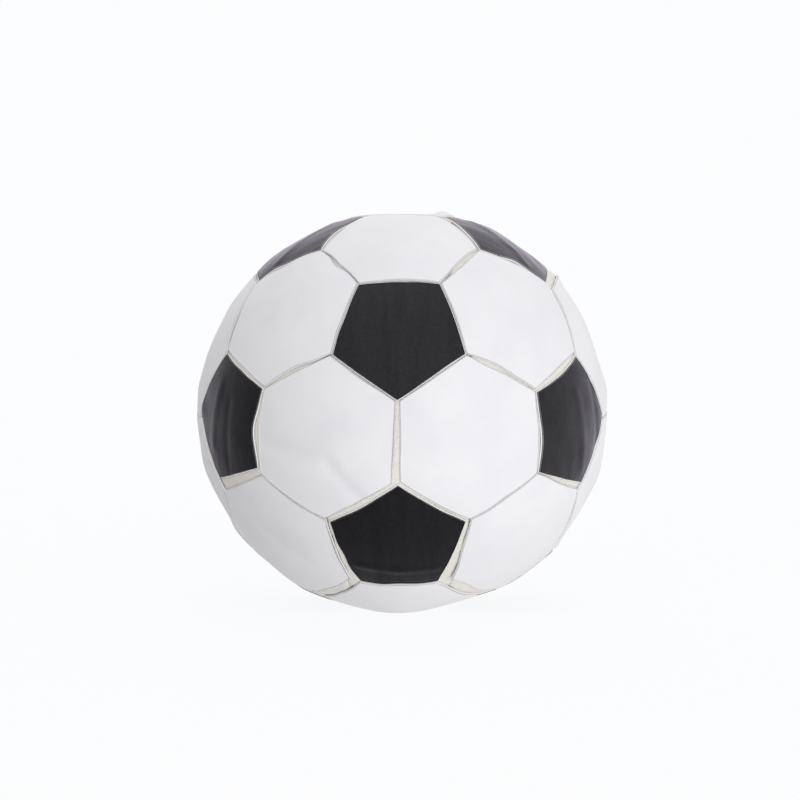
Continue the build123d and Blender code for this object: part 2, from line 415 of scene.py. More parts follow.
def mineral_grains():
    """Loose grains of mineral ballast, a millimetre or two across."""
    material, tree, shader = new_material("ballast_grains", 0.6, 0.4)
    place = object_place(tree)
    cells = add_node(tree, "ShaderNodeTexVoronoi", {"Vector": place, "Scale": 550.0})
    tone = add_node(tree, "ShaderNodeSeparateColor", {"Color": cells.outputs["Color"]}).outputs[0]
    stops = [(0.0, (0.16, 0.12, 0.09)), (0.5, (0.42, 0.36, 0.29)), (1.0, (0.7, 0.66, 0.6))]
    tree.links.new(colour_ramp(tree, tone, stops), shader.inputs["Base Color"])
    heap = add_node(tree, "ShaderNodeMath", {0: 1.0, 1: cells.outputs["Distance"]}, operation="SUBTRACT")
    tree.links.new(bump(tree, heap.outputs["Value"], 0.8 * MM, 0.9), shader.inputs["Normal"])
    return material


def waxed_thread():
    """Pale waxed linen thread, with a little sheen along its twist."""
    material, tree, shader = new_material("waxed_thread", 0.55, 0.4)
    place = object_place(tree)
    fluff = noise_texture(tree, place, 2500.0, 3.0, 0.6)
    stops = [(0.3, (0.80, 0.77, 0.70)), (0.7, (0.92, 0.90, 0.85))]
    tree.links.new(colour_ramp(tree, fluff, stops), shader.inputs["Base Color"])
    tree.links.new(bump(tree, fluff, 0.08 * MM, 0.7), shader.inputs["Normal"])
    return material


WHITE_FACE = white_leatherette()
BLACK_FACE = black_leatherette("black_leatherette", 0.25, 1.0, 1.0)
# The front lower and left front panels get a darker black as painted shade, since they face away from the
# light; the back lower panel's black is darker too.
BLACK_FACES = {
    "black_front_lower": black_leatherette("black_leatherette_deep", 0.13, 0.6, 0.6),
    "black_left_front": black_leatherette("black_leatherette_soft", 0.2, 0.5, 0.8, CLOUDED),
    "black_right_front": black_leatherette("black_leatherette_clouded", 0.25, 0.85, 1.0, CLOUDED),
    "black_back_lower": black_leatherette("black_leatherette_plain", 0.2, 0.7, 0.8),
}
WHITE_EDGE = cut_edge("white_panel_backing", (0.90, 0.89, 0.87), (0.78, 0.765, 0.74))
BLACK_EDGE = cut_edge("black_panel_backing", (0.93, 0.92, 0.91), (0.82, 0.81, 0.79))
FELT = loose_fibre("felt_fibres", (0.66, 0.64, 0.59), (0.47, 0.45, 0.41), 1.2 * MM)
FIBRE = loose_fibre("packed_fibres", (0.84, 0.84, 0.82), (0.66, 0.65, 0.62), 2.5 * MM)
CALICO = plain_weave("calico_cloth", (0.74, 0.70, 0.60), (0.66, 0.62, 0.52), 2200)
GRAINS = mineral_grains()
CANVAS = plain_weave("canvas_cloth", (0.93, 0.90, 0.855), (0.86, 0.83, 0.775), 1500)
THREAD = waxed_thread()


# ---------------------------------------------------------------- the cover's panels

# How the hand-cut panels meet, for a panel and each one across a seam from it. Both lists run along
# the first panel's side, anticlockwise as seen from outside, in millimetres: the width of the gap, and
# how far the seam lies towards the second panel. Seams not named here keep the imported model's gaps.
SEAMS = {
    "black_front_upper": {
        "white_upper_front_left": ((0.6, 0.5, 0.5, 0.5, 0.6), (0, -0.2, -0.6, 0.2, 0)),
        "white_front_left": ((0.6, 0.6, 0.7, 0.6, 0.6), (0, 0.4, 0.6, 0.4, 0)),
        "white_front_right": ((0.6, 0.6, 0.7, 0.8, 0.7), (0, 0.3, 0.2, 0, 0)),
        "white_upper_front_right": ((0.5, 0.5, 0.5, 0.6, 0.6), (0, 0, 0.2, 0.1, 0)),
        "white_top_front": ((0.7, 0.9, 1.4, 1.0, 0.7), (0, 0.3, 0.5, 0.2, 0)),
    },
    "white_upper_front_left": {
        "white_top_front": ((0.6, 0.5, 1.8, 0.8, 0.5), (0, 0.7, -0.8, 0.6, 0)),
        "black_top_left": ((0.9, 1.0, 3.2, 3.0, 0.9), (0, 0.7, -0.9, 0.7, 0)),
        "white_left_upper": ((0.8, 1.2, 3.0, 3.2, 2.0), (-2.2, -1.2, -0.4, 0, 0)),
        "black_left_front": ((2.2, 2.4, 2.6, 2.4, 2.0), (0, 0, 0, 0, 0)),
        "white_front_left": ((1.0, 2.8, 3.2, 1.3, 0.9), (0, -0.7, -0.9, 0.2, 0)),
    },
    "white_front_left": {
        "black_left_front": ((1.6, 3.0, 4.6, 3.6, 2.6), (0, 1.4, 3.0, 1.6, 0.3)),
        "white_lower_front_left": ((0.7, 0.5, 0.5, 0.6, 0.9), (0, 0.6, 0.9, 0.3, 0)),
        "black_front_lower": ((3.6, 4.0, 3.8, 3.4, 3.2), (0, 0.2, 0.5, 0, 0)),
        "white_front_right": ((6.6, 5.6, 4.8, 4.0, 3.0), (-0.4, -0.4, 0, 0.4, 0.2)),
    },
    "white_front_right": {
        "white_upper_front_right": ((1.8, 2.2, 2.8, 3.8, 1.2), (0, 0.3, 0.6, 0.4, 0)),
        "black_right_front": ((2.0, 2.4, 2.6, 2.2, 1.2), (0, 0.8, 1.0, 0.2, 0)),
        "white_lower_front_right": ((0.5, 0.4, 0.4, 0.4, 0.6), (0, 0.5, -0.4, 0.2, 0)),
        "black_front_lower": ((2.6, 2.5, 2.2, 2.0, 2.2), (0, 0.3, 0.6, 0.4, 0)),
    },
    "white_upper_front_right": {
        "black_right_front": ((2.0, 3.8, 5.2, 4.8, 2.6), (0, 0.2, 0.6, 0.3, 0)),
        "white_right_upper": ((1.0, 1.0, 1.6, 3.4, 2.4), (0, 0, 0.4, 0.6, 0)),
        "black_top_right": ((1.2, 1.0, 2.6, 0.9, 1.2), (0, 0.2, 1.6, -0.8, 0)),
        "white_top_front": ((1.6, 3.8, 3.5, 2.2, 1.2), (0, 0.4, 0, -0.2, 0)),
    },
    "white_top_front": {
        "black_top_right": ((1.4, 3.2, 2.8, 4.6, 6.5), (0, 0.8, 1.6, 3.2, 5.0)),
        "black_top_left": ((0.8, 1.2, 3.8, 4.6, 2.0), (0, 0, 1.3, 1.0, 0)),
        "white_top_back": ((12.0, 6.0, 2.0, 4.0, 8.0), (5.0, 2.0, 0.3, 1.5, 3.0)),
    },
    "white_lower_front_left": {
        "black_front_lower": ((6.2, 4.2, 4.6, 2.6, 2.4), (0, -0.6, 0.4, -0.2, 0)),
        "white_bottom_front": ((10.5, 10.0, 9.6, 9.2, 9.0), (0, 0.4, -0.3, 0.3, 0)),
    },
    "white_lower_front_right": {
        "black_front_lower": ((3.6, 4.6, 5.8, 8.4, 9.4), (0, 0, 0, -0.4, -0.8)),
        "white_bottom_front": ((11.5, 11, 9.4, 9.8, 8), (-0.8, -1.6, -0.4, -1.2, 0)),
        "black_right_front": ((5.0, 4.2, 3.2, 1.8, 0.9), (0, 0, 0, 0, 0)),
        "white_right_lower": ((0.9, 1.4, 3.2, 2.4, 0.9), (0, 0, 0.5, 0, 0)),
    },
    "black_top_left": {
        "white_left_upper": ((0.9, 1.0, 1.2, 1.5, 2.0), (-2.6, -3.2, -3.8, -4.4, -4.8)),
    },
    "black_front_lower": {
        "white_bottom_front": ((1.6, 1.0, 1.2, 0.9, 1.2), (0, 0.7, -0.5, 0.5, 0)),
    },
}
# The lower black panel of each hand is set back from the front, and its far sides reach further.
SET_BACK = ((3, 7, 9, 7, 3), (13, 19.5, 21.5, 19.5, 13))
FAR_SIDE = ((1.2, 1.5, 1.8, 1.5, 1.2), (4, 7, 8, 7, 4))
CLOSE = ((0.6, 0.6, 0.6, 0.6, 0.6), (0, 0, 0, 0, 0))
for hand in ("left", "right"):
    SEAMS[f"white_lower_front_{hand}"][f"black_bottom_{hand}"] = SET_BACK
    SEAMS[f"black_bottom_{hand}"] = {"white_bottom_back": FAR_SIDE, f"white_lower_back_{hand}": FAR_SIDE}
    SEAMS[f"white_{hand}_upper"] = {f"white_{hand}_lower": CLOSE}
LEAST_GAP = 0.32 * MM
SEAM_WAVE = 0.45 * MM
SEAM_WAVE_LENGTH = 22 * MM
CUT_WAVE = 0.5 * MM
CUT_WAVE_LENGTH = 13 * MM
WAVE_SHARE = 0.3
CUT_SEED, LIFT_SEED, DIMPLE_SEED = 10, 40, 80
PATCH_STEPS = 18
# Places along a patch, from the panel's middle to its edge, closer together near the edge.
PATCH_PLACES = 1 - (1 - np.linspace(0, 1, PATCH_STEPS + 1)) ** 1.2
EDGE_ROUNDING = 0.25 * MM
FACE_FILM = 0.35 * MM
BLACK_LEDGE = 0.65 * MM
WHITE_LEDGE = 0.12 * MM
BACKING_SPLAY = 0.12 * MM
EDGE_LIFT = 0.7 * MM
EDGE_LIFT_REACH = 5.0 * MM
EDGE_LIFT_LENGTH = 30 * MM
EDGE_LIFT_BIAS = 0.15
PUFF = 0.5 * MM
PUFF_REACH = 12.0 * MM


def smooth_through(values, t):
    """A smooth curve through evenly spaced values, at places t from 0 to 1."""
    v = np.asarray(values, float)
    v = np.concatenate([[2 * v[0] - v[1]], v, [2 * v[-1] - v[-2]]])
    place = np.clip(t, 0, 1) * (len(v) - 3)
    i = np.minimum(place.astype(int), len(v) - 4)
    f = place - i
    a, b, c, d = v[i], v[i + 1], v[i + 2], v[i + 3]
    return b + 0.5 * f * (c - a + f * (2 * a - 5 * b + 4 * c - d + f * (3 * (b - c) + d - a)))


def outline_corners(points, count):
    """The corners of the flat convex outline of a set of points, anticlockwise."""
    ordered = sorted(map(tuple, np.round(points, 7)))

    def turn(a, b, c):
        return (b[0] - a[0]) * (c[1] - a[1]) - (b[1] - a[1]) * (c[0] - a[0])

    def chain(run):
        kept = []
        for p in run:
            while len(kept) > 1 and turn(kept[-2], kept[-1], p) <= 0:
                kept.pop()
            kept.append(p)
        return kept[:-1]

    hull = [np.array(p) for p in chain(ordered) + chain(ordered[::-1])]
    while len(hull) > count:
        following = hull[1:] + hull[:1]
        lost = [turn(*three) for three in zip(hull[-1:] + hull, hull, following)]
        hull.pop(int(np.argmin(lost)))
    return np.array(hull)


class Panel:
    """One panel of the cover, in a flat map through the ball's middle, in metres."""

    def __init__(self, node):
        self.node = node
        self.name = node.removesuffix("_panel")
        self.black = node.startswith("black")
        rays = unit(node_points(node) - CENTRE)
        self.centre = unit(rays.max(0) + rays.min(0))
        self.east = unit(np.cross((0.0, 0.0, 1.0), self.centre))
        self.north = np.cross(self.centre, self.east)
        self.corners = outline_corners(self.flat(rays), 5 if self.black else 6)
        self.count = len(self.corners)
        self.seed = 1 + PANEL_NODES.index(node)
        self.cut_lines = []

    def flat(self, rays):
        """Where rays from the ball's middle meet the flat map."""
        ahead = rays @ self.centre
        return BALL_RADIUS * np.stack([rays @ self.east / ahead, rays @ self.north / ahead], -1)

    def rays(self, flat):
        """The directions of points on the flat map."""
        flat = np.asarray(flat) / BALL_RADIUS
        return unit(self.centre + flat[..., :1] * self.east + flat[..., 1:] * self.north)

    def side(self, k):
        """The ends and the outward normal of a side."""
        start, end = self.corners[k], self.corners[(k + 1) % self.count]
        along = unit(end - start)
        return start, end, np.array((along[1], -along[0]))

    def find_neighbours(self, panels):
        """For each side, the panel across the seam and the seam's two ends on this panel's map."""
        self.neighbours, self.seams = [], []
        for k in range(self.count):
            ends = self.rays(np.array(self.side(k)[:2]))
            best = None
            for other in panels:
                if other is self:
                    continue
                for j in range(other.count):
                    others = other.rays(np.array(other.side(j)[:2]))[::-1]
                    apart = np.linalg.norm(others - ends, axis=1).max()
                    if best is None or apart < best[0]:
                        best = (apart, other, others)
            self.neighbours.append(best[1])
            self.seams.append(self.flat(unit(ends + best[2])))

    def seam_law(self, k, along):
        """The gap's width and the seam's shift outwards on side k, in metres, or None for the CAD's gap."""
        other = self.neighbours[k].name
        if other in SEAMS.get(self.name, {}):
            widths, shifts = SEAMS[self.name][other]
            return smooth_through(widths, along) * MM, smooth_through(shifts, along) * MM
        if self.name in SEAMS.get(other, {}):
            widths, shifts = SEAMS[other][self.name]
            return smooth_through(widths, 1 - along) * MM, -smooth_through(shifts, 1 - along) * MM
        return None

    def reach(self, k, t):
        """How far the cut stands out from the straight side k, at places t along it."""
        start, end, outward = self.side(k)
        t = np.asarray(t, float)[:, None]
        base = start + (end - start) * t
        seam = self.seams[k][0] + (self.seams[k][1] - self.seams[k][0]) * t
        room = (seam - base) @ outward
        rays = self.rays(seam)
        first, last = self.rays(self.seams[k])
        along = np.arccos(np.clip(rays @ first, -1, 1)) / np.arccos(first @ last)
        law = self.seam_law(k, along)
        width, shift = law if law else (np.maximum(2 * room, 1.6 * LEAST_GAP), 0.0)
        ahead = 1 if self.name < self.neighbours[k].name else -1
        shift = shift + ahead * SEAM_WAVE * noise_at(rays * BALL_RADIUS, SEAM_WAVE_LENGTH, 2)
        wave = noise_at(rays * BALL_RADIUS, CUT_WAVE_LENGTH, CUT_SEED + self.seed)
        half_gap = 0.5 * width + np.minimum(CUT_WAVE, WAVE_SHARE * width) * wave
        half_gap = np.maximum(half_gap, 0.5 * LEAST_GAP)
        return room + shift - half_gap

    def set_inset(self, inset):
        """Sets how far inside the cut line the next points lie, and moves the corners to suit."""
        self.inset = inset
        self.shifts = [self.corner_shift(k) for k in range(self.count)]

    def corner_shift(self, k):
        """How far corner k moves so that both its sides are cut where they should be."""
        before, after = self.side(k - 1)[2], self.side(k)[2]
        out = [self.reach((k - 1) % self.count, [1.0])[0], self.reach(k, [0.0])[0]]
        return np.linalg.solve(np.array([before, after]), np.array(out) - self.inset)

    def cut_shift(self, k, t):
        """How far points of side k move from the straight side to the cut, less the inset."""
        start, end, outward = self.side(k)
        along = unit(end - start)
        first = self.shifts[k] @ along
        last = self.shifts[(k + 1) % self.count] @ along
        out = self.reach(k, t) - self.inset
        slide = first * (1 - t) + last * t
        return out[:, None] * outward + slide[:, None] * along

    def patch_points(self, inset):
        """The panel's surface as one square patch for each corner, as a list of point grids."""
        self.set_inset(inset)
        middle = self.corners.mean(0)
        a, b = PATCH_PLACES[:, None, None], PATCH_PLACES[None, :, None]
        grids = []
        for k in range(self.count):
            corner = self.corners[k]
            ahead = (corner + self.corners[(k + 1) % self.count]) / 2
            behind = (corner + self.corners[k - 1]) / 2
            base = middle * (1 - a) * (1 - b) + ahead * a * (1 - b) + corner * a * b + behind * (1 - a) * b
            on_side = self.cut_shift(k, 0.5 * (1 - PATCH_PLACES))[None, :, :]
            on_last = self.cut_shift((k - 1) % self.count, 0.5 + 0.5 * PATCH_PLACES)[:, None, :]
            grids.append(base + a * on_side + b * on_last - a * b * self.shifts[k])
        return grids

    def rim_points(self, inset):
        """The cut line, less an inset, once round the panel."""
        self.set_inset(inset)
        t = np.concatenate([0.5 * (1 - PATCH_PLACES[::-1]), (0.5 + 0.5 * PATCH_PLACES)[1:]])[:-1]
        round_it = []
        for k in range(self.count):
            start, end, _ = self.side(k)
            round_it.append(start + (end - start) * t[:, None] + self.cut_shift(k, t))
        return np.concatenate(round_it)

    def outside(self, rays):
        """How far rays pass outside the panel's cut line, negative inside it."""
        flat = self.flat(rays)
        t = np.linspace(0, 1, 33)
        distance = np.full(len(rays), -np.inf)
        for k in range(self.count):
            start, end, outward = self.side(k)
            if len(self.cut_lines) <= k:
                self.cut_lines.append(self.reach(k, t))
            along = (flat - start) @ (end - start) / np.sum((end - start) ** 2)
            cut_line = np.interp(along, t, self.cut_lines[k])
            distance = np.maximum(distance, (flat - start) @ outward - cut_line)
        return distance

    def edge_distance(self, flat):
        """How far points lie inside the panel's straight sides."""
        inside = [(self.side(k)[0] - flat) @ self.side(k)[2] for k in range(self.count)]
        return np.maximum(np.min(inside, axis=0), 0.0)

    def relief(self, flat):
        """How far the panel's face stands off the ball's own shape."""
        rays = self.rays(flat)
        places = rays * BALL_RADIUS
        inside = self.edge_distance(flat)
        lift = np.clip(noise_at(places, EDGE_LIFT_LENGTH, LIFT_SEED + self.seed) + EDGE_LIFT_BIAS, 0, 1)
        height = PUFF * (1 - np.exp(-inside / PUFF_REACH))
        height += EDGE_LIFT * lift * np.exp(-inside / EDGE_LIFT_REACH)
        height += DIMPLE * noise_at(places, DIMPLE_LENGTH, DIMPLE_SEED + self.seed)
        for azimuth, elevation, to_azimuth, to_elevation, width, depth in CREASES.get(self.name, []):
            ends = np.array([compass(azimuth, elevation), compass(to_azimuth, to_elevation)])
            first, last = self.flat(ends)
            along = np.clip((flat - first) @ (last - first) / np.sum((last - first) ** 2), 0, 1)
            off = np.linalg.norm(flat - first - along[:, None] * (last - first), axis=1)
            height += depth * MM * np.exp(-((off / (width * MM)) ** 2))
        for azimuth, elevation, width, rise in CURLS.get(self.name, []):
            off = np.linalg.norm(places - compass(azimuth, elevation) * BALL_RADIUS, axis=1)
            height += rise * MM * np.exp(-((off / (width * MM)) ** 2))
        return height

    def cut_size(self):
        """The width and length, and the area, of the flat piece that the panel was cut as, in metres."""
        rim = self.rim_points(0.0)
        tilt = np.arccos(self.rays(rim) @ self.centre)
        x, y = (rim * (tilt / np.tan(tilt))[:, None]).T
        area = 0.5 * abs(np.dot(x, np.roll(y, -1)) - np.dot(y, np.roll(x, -1)))
        return (float(np.ptp(x)), float(np.ptp(y))), float(area)

    def lies_on(self):
        """The gores under the panel, and the pole patch if it covers one."""
        rays = self.rays(self.rim_points(0.0))
        turn = (np.arctan2(rays[:, 1], rays[:, 0]) - SEAM_ANGLE) % (2 * math.pi)
        numbers = sorted({int(number) for number in turn / GORE_ANGLE})
        names = [f"canvas_gore_{number % GORE_COUNT + 1}" for number in numbers]
        for patch, sign in POLE_PATCHES.items():
            pole = np.array([[0.0, 0.0, sign]])
            if (pole @ self.centre)[0] > NEAR_PANEL and self.outside(pole)[0] < POLE_PATCH_RADIUS:
                names.append(patch)
        return names

    def place(self, flat, depth):
        """Points of the flat map, on the ball, at a depth under the panel's face."""
        rays = self.rays(flat)
        return CENTRE + rays * (surface_radius(rays, self.relief(flat)) - depth)[:, None]


def panel_piece(panel):
    """The panel as a closed sheet: its face, a rounded cut edge that shows the backing, and its back."""
    points, uv, faces, material_of_face = [], [], [], []
    index_of = {}
    map_shift = np.array((0.31, 0.17)) * panel.seed

    def add_patches(inset, depth, layer, flip):
        for grid in panel.patch_points(inset):
            size = PATCH_STEPS + 1
            flat = grid.reshape(-1, 2)
            placed = panel.place(flat, depth)
            ids = []
            for p, q in zip(flat, placed):
                key = (layer, round(p[0], 6), round(p[1], 6))
                if key not in index_of:
                    index_of[key] = len(points)
                    points.append(q)
                    uv.append(p + map_shift)
                ids.append(index_of[key])
            ids = np.array(ids).reshape(size, size)
            for i in range(PATCH_STEPS):
                for j in range(PATCH_STEPS):
                    quad = (ids[i, j], ids[i + 1, j], ids[i + 1, j + 1], ids[i, j + 1])
                    faces.append(quad[::-1] if flip else quad)
                    material_of_face.append(1 if flip else 0)

    def add_ring(inset, depth):
        flat = panel.rim_points(inset)
        ids = list(range(len(points), len(points) + len(flat)))
        points.extend(panel.place(flat, depth))
        uv.extend(flat + map_shift)
        return ids

    def patch_rim(inset, layer):
        flat = panel.rim_points(inset)
        return [index_of[(layer, round(p[0], 6), round(p[1], 6))] for p in flat]

    ledge = BLACK_LEDGE if panel.black else WHITE_LEDGE
    add_patches(ledge + EDGE_ROUNDING, 0.0, "face", False)
    add_patches(EDGE_ROUNDING, PANEL_THICKNESS, "back", True)
    # From the face to the back, as inset and depth: the film's rounded edge, the ledge of backing, the cut.
    film_edge = [
        (ledge + 0.3 * EDGE_ROUNDING, 0.2 * FACE_FILM),
        (ledge, 0.6 * FACE_FILM),
        (ledge, FACE_FILM),
    ]
    backing_edge = [
        (0.3 * EDGE_ROUNDING, FACE_FILM + 0.06 * MM),
        (0.0, FACE_FILM + 0.3 * MM),
        (-BACKING_SPLAY, PANEL_THICKNESS - 0.25 * MM),
    ]
    rings = [patch_rim(ledge + EDGE_ROUNDING, "face")]
    rings += [add_ring(inset, depth) for inset, depth in film_edge + backing_edge]
    rings.append(patch_rim(EDGE_ROUNDING, "back"))
    for row, (upper, lower) in enumerate(zip(rings, rings[1:])):
        for k in range(len(upper)):
            following = (k + 1) % len(upper)
            faces.append((upper[k], lower[k], lower[following], upper[following]))
            material_of_face.append(0 if row < len(film_edge) else 1)
    materials = (WHITE_FACE, WHITE_EDGE)
    if panel.black:
        materials = (BLACK_FACES.get(panel.name, BLACK_FACE), BLACK_EDGE)
    piece = new_piece(panel.name + "_leatherette", points, faces, materials, uv, material_of_face)
    finish_piece(piece, "black_leatherette" if panel.black else "white_leatherette", panel.node)
    size, area = panel.cut_size()
    panel.lies_on()
    return piece


# ---------------------------------------------------------------- the canvas carcass

GORE_COLUMNS = 64
GORE_ROWS = 250
GORE_MARGIN = 0.12 * MM
POLE_PATCH_MARGIN = 0.15 * MM
SEAM_DIP = 0.7 * MM
SEAM_DIP_WIDTH = 2.2 * MM
PUCKER = 0.35 * MM
PUCKER_LENGTH = 2.2 * MM
PUCKER_REACH = 7.0 * MM
WRINKLE = 0.5 * MM
WRINKLE_LENGTH = 11 * MM
FINE_WRINKLE_SHARE = 0.35
FINE_WRINKLE_LENGTH = 5 * MM
CANVAS_SINK = 0.12 * MM
BULGE = 0.85 * MM
BULGE_REACH = 1.0 * MM
NEAR_PANEL = math.cos(math.radians(32))
FAR_OUTSIDE = 20 * MM
MIDDLE_BAND = 20 * MM
POLE_PATCHES = {"canvas_pole_patch_top": 1.0, "canvas_pole_patch_bottom": -1.0}


def outside_cover(rays):
    """How far rays pass outside every panel of the cover, or 0 under a panel."""
    distance = np.full(len(rays), FAR_OUTSIDE)
    for panel in panels:
        near = rays @ panel.centre > NEAR_PANEL
        distance[near] = np.minimum(distance[near], panel.outside(rays[near]))
    return np.maximum(distance, 0.0)


def first_seam_angle():
    """The angle of the first gore's first seam, from the CAD gore's points round the ball's middle."""
    points = node_points("canvas_gore_1")
    level = points[np.abs(points[:, 2] - CENTRE[2]) < MIDDLE_BAND]
    return np.arctan2(level[:, 1], level[:, 0]).min()


SEAM_ANGLE = first_seam_angle()
GORE_ANGLE = 2 * math.pi / GORE_COUNT


def canvas_radius(rays):
    """The canvas's distance from the ball's middle: it bulges and wrinkles in gaps, and dips at seams."""
    base = surface_radius(rays) - PANEL_THICKNESS - CANVAS_SINK
    places = rays * BALL_RADIUS
    bulge = 1 - np.exp(-outside_cover(rays) / BULGE_REACH)
    fine = FINE_WRINKLE_SHARE * noise_at(places, FINE_WRINKLE_LENGTH, 4)
    wrinkles = bulge * (BULGE + WRINKLE * (noise_at(places, WRINKLE_LENGTH, 3) + fine))
    angle = np.arctan2(rays[:, 1], rays[:, 0]) - SEAM_ANGLE
    nearest = np.round(angle / GORE_ANGLE) * GORE_ANGLE
    level = np.hypot(rays[:, 0], rays[:, 1]) * BALL_RADIUS
    off_seam = np.abs(angle - nearest) * level
    dip = SEAM_DIP * np.exp(-((off_seam / SEAM_DIP_WIDTH) ** 2))
    height = np.arcsin(np.clip(rays[:, 2], -1, 1)) * BALL_RADIUS
    pucker = PUCKER * np.sin(height / PUCKER_LENGTH) * np.exp(-((off_seam / PUCKER_REACH) ** 2))
    return base + wrinkles - dip + np.minimum(pucker, 0)


def gore_piece(number):
    """One gore of the carcass, from pole patch to pole patch, as a closed sheet of canvas."""
    tip = math.asin(POLE_PATCH_RADIUS / (BALL_RADIUS - PANEL_THICKNESS))
    heights = np.linspace(-math.pi / 2 + tip, math.pi / 2 - tip, GORE_ROWS + 1)
    rays, uv = [], []
    for height in heights:
        level, rise = math.cos(height), math.sin(height)
        margin = GORE_MARGIN / (BALL_RADIUS * level)
        start = SEAM_ANGLE + (number - 1) * GORE_ANGLE + margin
        for share in np.linspace(0, 1, GORE_COLUMNS + 1):
            angle = start + share * (GORE_ANGLE - 2 * margin)
            rays.append((level * math.cos(angle), level * math.sin(angle), rise))
            uv.append(((share - 0.5) * GORE_ANGLE * level * BALL_RADIUS, height * BALL_RADIUS))
    rays = np.array(rays)
    radius = canvas_radius(rays)[:, None]
    row = GORE_COLUMNS + 1
    corners = [j * row + i for j in range(GORE_ROWS) for i in range(GORE_COLUMNS)]
    faces = [(a, a + 1, a + 1 + row, a + row) for a in corners]
    rim = list(range(row)) + [j * row + GORE_COLUMNS for j in range(1, GORE_ROWS + 1)]
    rim += [GORE_ROWS * row + i for i in range(GORE_COLUMNS - 1, -1, -1)]
    rim += [j * row for j in range(GORE_ROWS - 1, 0, -1)]
    outer, inner = CENTRE + rays * radius, CENTRE + rays * (radius - CANVAS_THICKNESS)
    piece = closed_sheet(f"canvas_gore_{number}_cloth", outer, inner, faces, rim, CANVAS, uv)
    finish_piece(piece, "canvas", f"canvas_gore_{number}")


def pole_patch_piece(name, sign):
    """The round patch of canvas that closes a pole of the carcass."""
    rings, around = 8, 48
    edge = math.asin((POLE_PATCH_RADIUS - POLE_PATCH_MARGIN) / (BALL_RADIUS - PANEL_THICKNESS))
    rays, uv = [(0.0, 0.0, sign)], [(0.0, 0.0)]
    for ring in range(1, rings + 1):
        tilt = edge * ring / rings
        for step in range(around):
            turn = 2 * math.pi * step / around
            x, y = math.cos(turn), math.sin(turn)
            rays.append((math.sin(tilt) * x, math.sin(tilt) * y, sign * math.cos(tilt)))
            uv.append((tilt * BALL_RADIUS * x, tilt * BALL_RADIUS * y))
    rays = np.array(rays)
    radius = (surface_radius(rays) - PANEL_THICKNESS - CANVAS_SINK)[:, None]
    faces = []
    for step in range(around):
        following = (step + 1) % around
        faces.append((0, 1 + step, 1 + following))
        for ring in range(rings - 1):
            a, b = 1 + ring * around + step, 1 + ring * around + following
            faces.append((a, a + around, b + around, b))
    last = 1 + (rings - 1) * around
    rim = list(range(last, last + around))
    if sign < 0:
        faces = [face[::-1] for face in faces]
        rim = rim[::-1]
    outer, inner = CENTRE + rays * radius, CENTRE + rays * (radius - CANVAS_THICKNESS)
    piece = closed_sheet(name + "_cloth", outer, inner, faces, rim, CANVAS, uv)
    finish_piece(piece, "canvas", name)


# ---------------------------------------------------------------- stitches

STITCH_VERTICES = 24
STRANDS = 2


def stitch_piece(node, name, thread_radius):
    """A row of stitches, each two twisted strands that dip into the canvas at both ends."""
    points, faces = [], []
    steps, sides = 10, 6
    for box in node_points(node).reshape(-1, STITCH_VERTICES, 3):
        middle = box.mean(0)
        spread = box - middle
        along = np.linalg.svd(spread, full_matrices=False)[2][0]
        half = np.abs(spread @ along).max()
        outward = unit(middle - CENTRE)
        ray_radius = canvas_radius(outward[None, :])[0]
        across = np.cross(outward, along)
        for strand in range(STRANDS):
            line = []
            for step in range(steps + 1):
                share = step / steps * 2 - 1
                turn = math.pi * strand + share * 1.6 * math.pi
                rise = thread_radius * (1.1 - 3.2 * share**6)
                wander = 0.55 * thread_radius * (math.cos(turn) * across + math.sin(turn) * outward)
                line.append(CENTRE + outward * (ray_radius + rise) + along * half * share + wander)
            outs, ups = [across] * len(line), [outward] * len(line)
            add_tube(points, faces, line, outs, ups, 0.62 * thread_radius, sides, closed=False)
    piece = new_piece(name, points, faces, [THREAD])
    finish_piece(piece, "thread", node)


# ---------------------------------------------------------------- inside the ball

PUFF_PRESSURE = 4.0
PUFF_FRAMES = 20
# The stuffing follows the ball's hollows in full beyond the second of these shares of its radius, and not
# at all inside the first.
STILL_SHARE, MOVING_SHARE = 0.55, 0.85
CANVAS_ROOM = 0.1 * MM
LATHE_AROUND = 192
BAG_LOW, BAG_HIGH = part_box("ballast_bag_lower")
BAG_RADIUS = (BAG_HIGH.x - BAG_LOW.x) / 2
BAG_THICKNESS = 0.9 * (BALLAST_LOW.x - BAG_LOW.x)
BAG_ROWS = 24
BAG_FOOT_DEGREES = -87.0
BAG_CRUMPLE = 0.35 * MM
PLEATS = 16
NECK_RADIUS = 6.0 * MM
NECK_PLEAT = 1.2 * MM
RUFFLE_PLEAT = 3.6 * MM
RUFFLE_FOOT = 61 * MM
RUFFLE_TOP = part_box("ballast_bag_upper")[1].z - CENTRE[2]
RUFFLE_RADIUS = 13.0 * MM


def even_mesh(node, name, voxel):
    """A copy of a CAD node in an object of its own, remeshed with even faces."""
    piece = bpy.data.objects.new(name, NODES[node].data.copy())
    bpy.context.scene.collection.objects.link(piece)
    piece.data.materials.clear()
    remesh = piece.modifiers.new("even_mesh", "REMESH")
    remesh.mode = "VOXEL"
    remesh.voxel_size = voxel
    apply_modifiers(piece)
    return piece


def apply_modifiers(piece):
    """Puts what a piece's modifiers make into its mesh, and takes the modifiers away."""
    bpy.context.view_layer.update()
    evaluated = piece.evaluated_get(bpy.context.evaluated_depsgraph_get())
    mesh = bpy.data.meshes.new_from_object(evaluated)
    piece.modifiers.clear()
    piece.data = mesh


def mesh_points(piece):
    """The vertices of a piece, as an array."""
    points = np.zeros(len(piece.data.vertices) * 3)
    piece.data.vertices.foreach_get("co", points)
    return points.reshape(-1, 3)


def set_mesh_points(piece, points):
    """Moves the vertices of a piece."""
    piece.data.vertices.foreach_set("co", np.asarray(points, float).ravel())
    piece.data.update()


